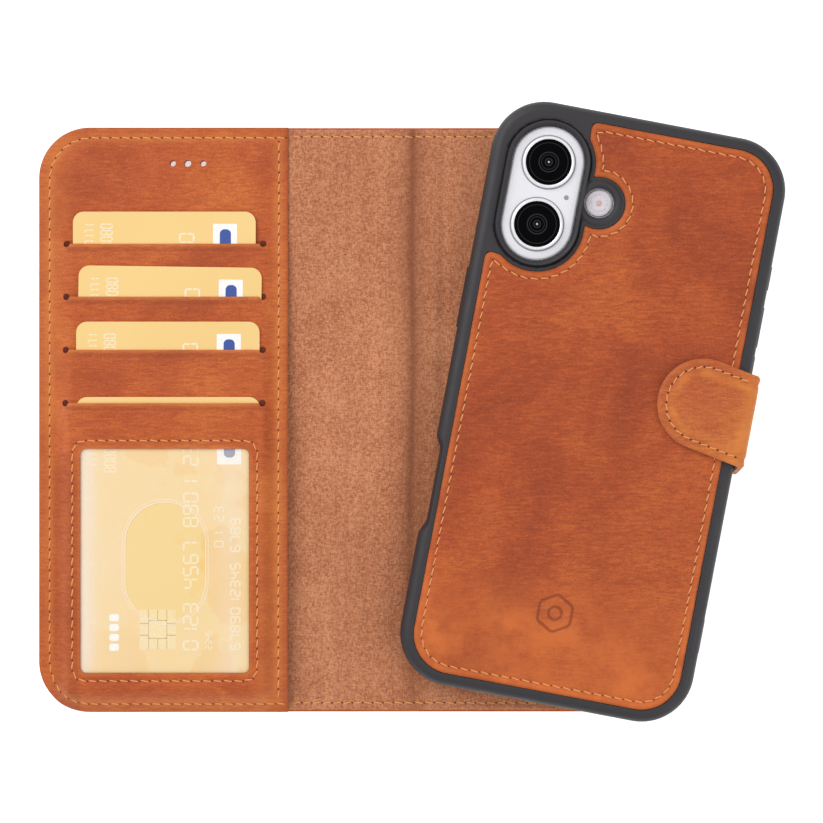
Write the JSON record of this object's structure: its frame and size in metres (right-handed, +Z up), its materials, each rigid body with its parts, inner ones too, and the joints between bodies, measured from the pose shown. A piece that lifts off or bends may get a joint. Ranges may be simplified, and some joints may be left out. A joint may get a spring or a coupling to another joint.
{
  "type": "phone wallet case",
  "caption": "Open leather folio with card slots, an ID window and a closure tab that holds a detachable magnetic phone case with its camera cut-out, buttons and display phone.",
  "frame": {"origin": "centre of the back cover's outer face, which rests on the table", "axes": "+X from the front cover towards the closure tab, +Y towards the top of the folio, +Z up out of the table"},
  "size_m": [0.2197, 0.1816, 0.0173],
  "materials": {
    "leather": "satin",
    "lining": "matte",
    "thread": "matte",
    "board": "matte",
    "magnet": "satin",
    "steel": "satin",
    "clear_film": "gloss",
    "card": "gloss",
    "bumper": "matte",
    "phone_body": "gloss",
    "dark_glass": "gloss",
    "lens_ring": "polished",
    "flash": "gloss"
  },
  "bodies": {
    "back_cover": {"back_leather": "leather", "back_board": "board", "back_lining": "lining", "folio_magnet_1": "magnet", "folio_magnet_2": "magnet", "folio_magnet_3": "magnet", "folio_magnet_4": "magnet", "back_edge_thread": "thread", "tab_base_leather": "leather", "tab_base_lining": "lining"},
    "spine": {"spine_leather": "leather", "spine_stiffener": "board", "spine_lining": "lining", "spine_thread_top": "thread", "spine_thread_bottom": "thread"},
    "front_cover": {"front_leather": "leather", "front_board": "board", "front_lining": "lining", "closure_plate": "steel", "pocket_backing": "lining", "pocket_leather": "leather", "pocket_liner_1": "lining", "pocket_liner_2": "lining", "pocket_liner_3": "lining", "window_film": "clear_film", "front_edge_thread": "thread", "pocket_side_thread": "thread", "window_thread": "thread"},
    "case": {"case_shell": "bumper", "case_back_leather": "leather", "case_steel_plate": "steel", "case_thread": "thread", "phone_body": "phone_body", "phone_screen": "dark_glass", "camera_island": "phone_body", "lens_ring_1": "lens_ring", "lens_ring_2": "lens_ring", "lens_glass_1": "dark_glass", "lens_glass_2": "dark_glass", "flash_lens": "flash"},
    "side_button": {"side_button_pad": "bumper"},
    "action_button": {"action_button_pad": "bumper"},
    "volume_up_button": {"volume_up_pad": "bumper"},
    "volume_down_button": {"volume_down_pad": "bumper"},
    "tab_side": {"tab_side_leather": "leather", "tab_side_lining": "lining"},
    "tab_flap": {"tab_flap_leather": "leather", "tab_flap_lining": "lining", "tab_magnet": "magnet", "tab_thread": "thread"},
    "card_1": {"card_1": "card"},
    "card_2": {"card_2": "card"},
    "card_3": {"card_3": "card"},
    "card_4": {"card_4": "card"}
  },
  "joints": [
    {"name": "spine_fold", "type": "hinge", "parent": "back_cover", "child": "spine", "pos_m": [-0.0434, 0, 0.0027], "axis": [0, 1, 0], "range_deg": [-90, 90]},
    {"name": "cover_fold", "type": "hinge", "parent": "spine", "child": "front_cover", "pos_m": [-0.0654, 0, 0.0027], "axis": [0, 1, 0], "range_deg": [-90, 90]},
    {"name": "tab_lower_fold", "type": "hinge", "parent": "back_cover", "child": "tab_side", "pos_m": [0.05717, -0.0027, 0.0027], "axis": [0.1867, 0.9824, 0], "range_deg": [0, 90]},
    {"name": "tab_upper_fold", "type": "hinge", "parent": "tab_side", "child": "tab_flap", "pos_m": [0.05761, -0.00041, 0.01495], "axis": [0.1867, 0.9824, 0], "range_deg": [0, 90]},
    {"name": "case_slide", "type": "slide", "parent": "back_cover", "child": "case", "axis": [0.1867, 0.9824, 0], "range_m": [0, 0.18]},
    {"name": "side_button_press", "type": "slide", "parent": "case", "child": "side_button", "axis": [0.9824, -0.1867, 0], "range_m": [0, 0.0004]},
    {"name": "action_button_press", "type": "slide", "parent": "case", "child": "action_button", "axis": [-0.9824, 0.1867, 0], "range_m": [0, 0.0004]},
    {"name": "volume_up_press", "type": "slide", "parent": "case", "child": "volume_up_button", "axis": [-0.9824, 0.1867, 0], "range_m": [0, 0.0004]},
    {"name": "volume_down_press", "type": "slide", "parent": "case", "child": "volume_down_button", "axis": [-0.9824, 0.1867, 0], "range_m": [0, 0.0004]},
    {"name": "card_1_slide", "type": "slide", "parent": "front_cover", "child": "card_1", "axis": [0, 1, 0], "range_m": [0, 0.088]},
    {"name": "card_2_slide", "type": "slide", "parent": "front_cover", "child": "card_2", "axis": [0.014, 0.9999, 0], "range_m": [0, 0.088]},
    {"name": "card_3_slide", "type": "slide", "parent": "front_cover", "child": "card_3", "axis": [0, 1, 0], "range_m": [0, 0.088]},
    {"name": "card_4_slide", "type": "slide", "parent": "front_cover", "child": "card_4", "axis": [0, 1, 0], "range_m": [0, 0.088]}
  ]
}
